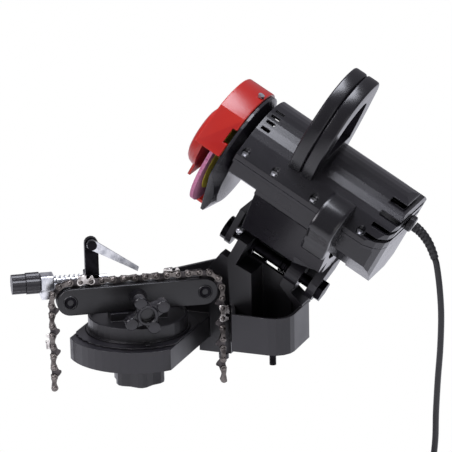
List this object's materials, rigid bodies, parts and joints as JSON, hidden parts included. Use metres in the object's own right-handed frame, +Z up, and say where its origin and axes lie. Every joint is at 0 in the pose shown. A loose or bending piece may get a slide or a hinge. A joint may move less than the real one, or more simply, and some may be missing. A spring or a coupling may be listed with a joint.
{
  "type": "chain sharpener",
  "caption": "Bench grinder for saw chains: a motor head with a guarded grinding wheel tilts down to a chain held in a vise on a turntable.",
  "frame": {"origin": "on the flat underside of the base's body, below the hinge's bearings", "axes": "+X to the operator's right, along the hinge as seen from above; +Y away from the operator; +Z up from the bench"},
  "size_m": [0.3728, 0.2001, 0.3784],
  "materials": {
    "base_body": "satin moulded black",
    "angle_scale": "zinc plated",
    "bench_bolt_0": "zinc plated",
    "bench_bolt_1": "zinc plated",
    "hinge_pin": "zinc plated",
    "hinge_nut": "zinc plated",
    "hinge_collar": "zinc plated",
    "return_spring": "zinc plated",
    "edge_bumper": "soft black",
    "cord": "soft black",
    "cord_coil": "soft black",
    "plug_body": "soft black",
    "coil_tie": "satin moulded black",
    "turntable_lock_knob": "satin moulded black",
    "turntable_disc": "satin moulded black",
    "vise_rear_plate": "satin moulded black",
    "stop_bracket": "satin moulded black",
    "chain_drive_links": "bare steel",
    "chain_front_straps": "bare steel",
    "chain_rear_straps": "bare steel",
    "vise_front_plate": "satin moulded black",
    "vise_screw_left": "zinc plated",
    "vise_screw_right": "zinc plated",
    "clamp_knob": "satin moulded black",
    "stop_adjust_knob": "satin moulded black",
    "stop_rod": "zinc plated",
    "stop_lock_ring": "satin moulded black",
    "stop_spring": "zinc plated",
    "stop_carriage": "satin moulded black",
    "pawl_screw": "zinc plated",
    "stop_pawl": "zinc plated",
    "swing_yoke": "satin moulded black",
    "upper_shell": "satin moulded black",
    "lower_shell": "satin moulded black",
    "handle_left_half": "satin moulded black",
    "handle_right_half": "satin moulded black",
    "front_grip": "satin moulded black",
    "backing_plate": "satin moulded black",
    "motor_stator": "bare steel",
    "rear_bearing_bracket": "zinc plated",
    "front_bearing": "zinc plated",
    "rear_bearing": "zinc plated",
    "guard_screw": "zinc plated",
    "housing_screw_0": "zinc plated",
    "housing_screw_1": "zinc plated",
    "housing_screw_2": "zinc plated",
    "housing_screw_3": "zinc plated",
    "wheel_guard": "glossy moulded red",
    "cord_gland": "satin moulded black",
    "strain_relief": "soft black",
    "trigger": "satin moulded black",
    "grinding_wheel": "pink bonded grit",
    "wheel_label": "plain yellow paper",
    "outer_flange": "zinc plated",
    "inner_flange": "zinc plated",
    "wheel_nut": "zinc plated",
    "motor_shaft": "zinc plated",
    "rotor_core": "bare steel",
    "cooling_fan": "satin moulded black",
    "depth_screw": "zinc plated"
  },
  "bodies": {
    "base": {"base_body": "base_body", "angle_scale": "angle_scale", "bench_bolt_0": "bench_bolt_0", "bench_bolt_1": "bench_bolt_1", "hinge_pin": "hinge_pin", "hinge_nut": "hinge_nut", "hinge_collar": "hinge_collar", "return_spring": "return_spring", "edge_bumper": "edge_bumper", "cord": "cord", "cord_coil": "cord_coil", "plug_body": "plug_body", "coil_tie": "coil_tie"},
    "lock_knob": {"turntable_lock_knob": "turntable_lock_knob"},
    "turntable": {"turntable_disc": "turntable_disc", "vise_rear_plate": "vise_rear_plate", "stop_bracket": "stop_bracket", "chain_drive_links": "chain_drive_links", "chain_front_straps": "chain_front_straps", "chain_rear_straps": "chain_rear_straps", "stop_spring": "stop_spring"},
    "front_jaw": {"vise_front_plate": "vise_front_plate", "vise_screw_left": "vise_screw_left", "vise_screw_right": "vise_screw_right"},
    "clamp": {"clamp_knob": "clamp_knob"},
    "stop_adjuster": {"stop_adjust_knob": "stop_adjust_knob", "stop_rod": "stop_rod"},
    "stop_lock": {"stop_lock_ring": "stop_lock_ring"},
    "stop_slider": {"stop_carriage": "stop_carriage", "pawl_screw": "pawl_screw"},
    "pawl": {"stop_pawl": "stop_pawl"},
    "head": {"swing_yoke": "swing_yoke", "upper_shell": "upper_shell", "lower_shell": "lower_shell", "handle_left_half": "handle_left_half", "handle_right_half": "handle_right_half", "front_grip": "front_grip", "backing_plate": "backing_plate", "motor_stator": "motor_stator", "rear_bearing_bracket": "rear_bearing_bracket", "front_bearing": "front_bearing", "rear_bearing": "rear_bearing", "guard_screw": "guard_screw", "housing_screw_0": "housing_screw_0", "housing_screw_1": "housing_screw_1", "housing_screw_2": "housing_screw_2", "housing_screw_3": "housing_screw_3", "wheel_guard": "wheel_guard", "cord_gland": "cord_gland", "strain_relief": "strain_relief"},
    "trigger": {"trigger": "trigger"},
    "wheel": {"grinding_wheel": "grinding_wheel", "wheel_label": "wheel_label", "outer_flange": "outer_flange", "inner_flange": "inner_flange", "wheel_nut": "wheel_nut", "motor_shaft": "motor_shaft", "rotor_core": "rotor_core", "cooling_fan": "cooling_fan"},
    "depth_stop": {"depth_screw": "depth_screw"}
  },
  "joints": [
    {"name": "head_swing", "type": "hinge", "parent": "base", "child": "head", "pos_m": [-0.06315, 0.014, 0.113], "axis": [0.866, 0, -0.5], "range_deg": [0, 68], "stiffness_Nm_per_rad": 1.5, "springref_deg": -42.97},
    {"name": "wheel_spin", "type": "hinge", "parent": "head", "child": "wheel", "pos_m": [-0.0259, -0.008, 0.17752], "axis": [0.866, 0, -0.5], "continuous": true},
    {"name": "depth_screw_turn", "type": "hinge", "parent": "head", "child": "depth_stop", "pos_m": [-0.01807, 0.014, 0.10048], "axis": [0, 1, 0], "range_deg": [0, 1080]},
    {"name": "trigger_press", "type": "slide", "parent": "head", "child": "trigger", "axis": [0, -1, 0], "range_m": [0, 0.003], "stiffness_N_per_m": 150},
    {"name": "turntable_turn", "type": "hinge", "parent": "base", "child": "turntable", "pos_m": [-0.0946, -0.0557, 0], "axis": [0, 0, 1], "range_deg": [-70, 0]},
    {"name": "lock_knob_turn", "type": "hinge", "parent": "base", "child": "lock_knob", "pos_m": [-0.0946, -0.0557, 0], "axis": [0, 0, 1], "range_deg": [0, 360]},
    {"name": "clamp_turn", "type": "hinge", "parent": "front_jaw", "child": "clamp", "pos_m": [-0.0946, -0.0557, 0.05], "axis": [0.5395, -0.842, 0], "range_deg": [0, 360]},
    {"name": "jaw_slide", "type": "slide", "parent": "turntable", "child": "front_jaw", "axis": [0.5395, -0.842, 0], "range_m": [0, 0.00124]},
    {"name": "stop_adjust_turn", "type": "hinge", "parent": "turntable", "child": "stop_adjuster", "pos_m": [-0.10323, -0.04223, 0.0635], "axis": [0.842, 0.5395, 0], "range_deg": [0, 720]},
    {"name": "stop_slide", "type": "slide", "parent": "turntable", "child": "stop_slider", "axis": [0.842, 0.5395, 0], "range_m": [0, 0.002]},
    {"name": "stop_lock_turn", "type": "hinge", "parent": "stop_adjuster", "child": "stop_lock", "pos_m": [-0.10323, -0.04223, 0.0635], "axis": [0.842, 0.5395, 0], "range_deg": [0, 180]},
    {"name": "pawl_flip", "type": "hinge", "parent": "stop_slider", "child": "pawl", "pos_m": [-0.13125, -0.06825, 0.098], "axis": [-0.5395, 0.842, 0], "range_deg": [-100, 0]}
  ],
  "couplings": [
    {"joint": "clamp_turn", "follows": "jaw_slide", "rad_per_m": 5050.5},
    {"joint": "stop_adjust_turn", "follows": "stop_slide", "rad_per_m": 6289.3}
  ]
}
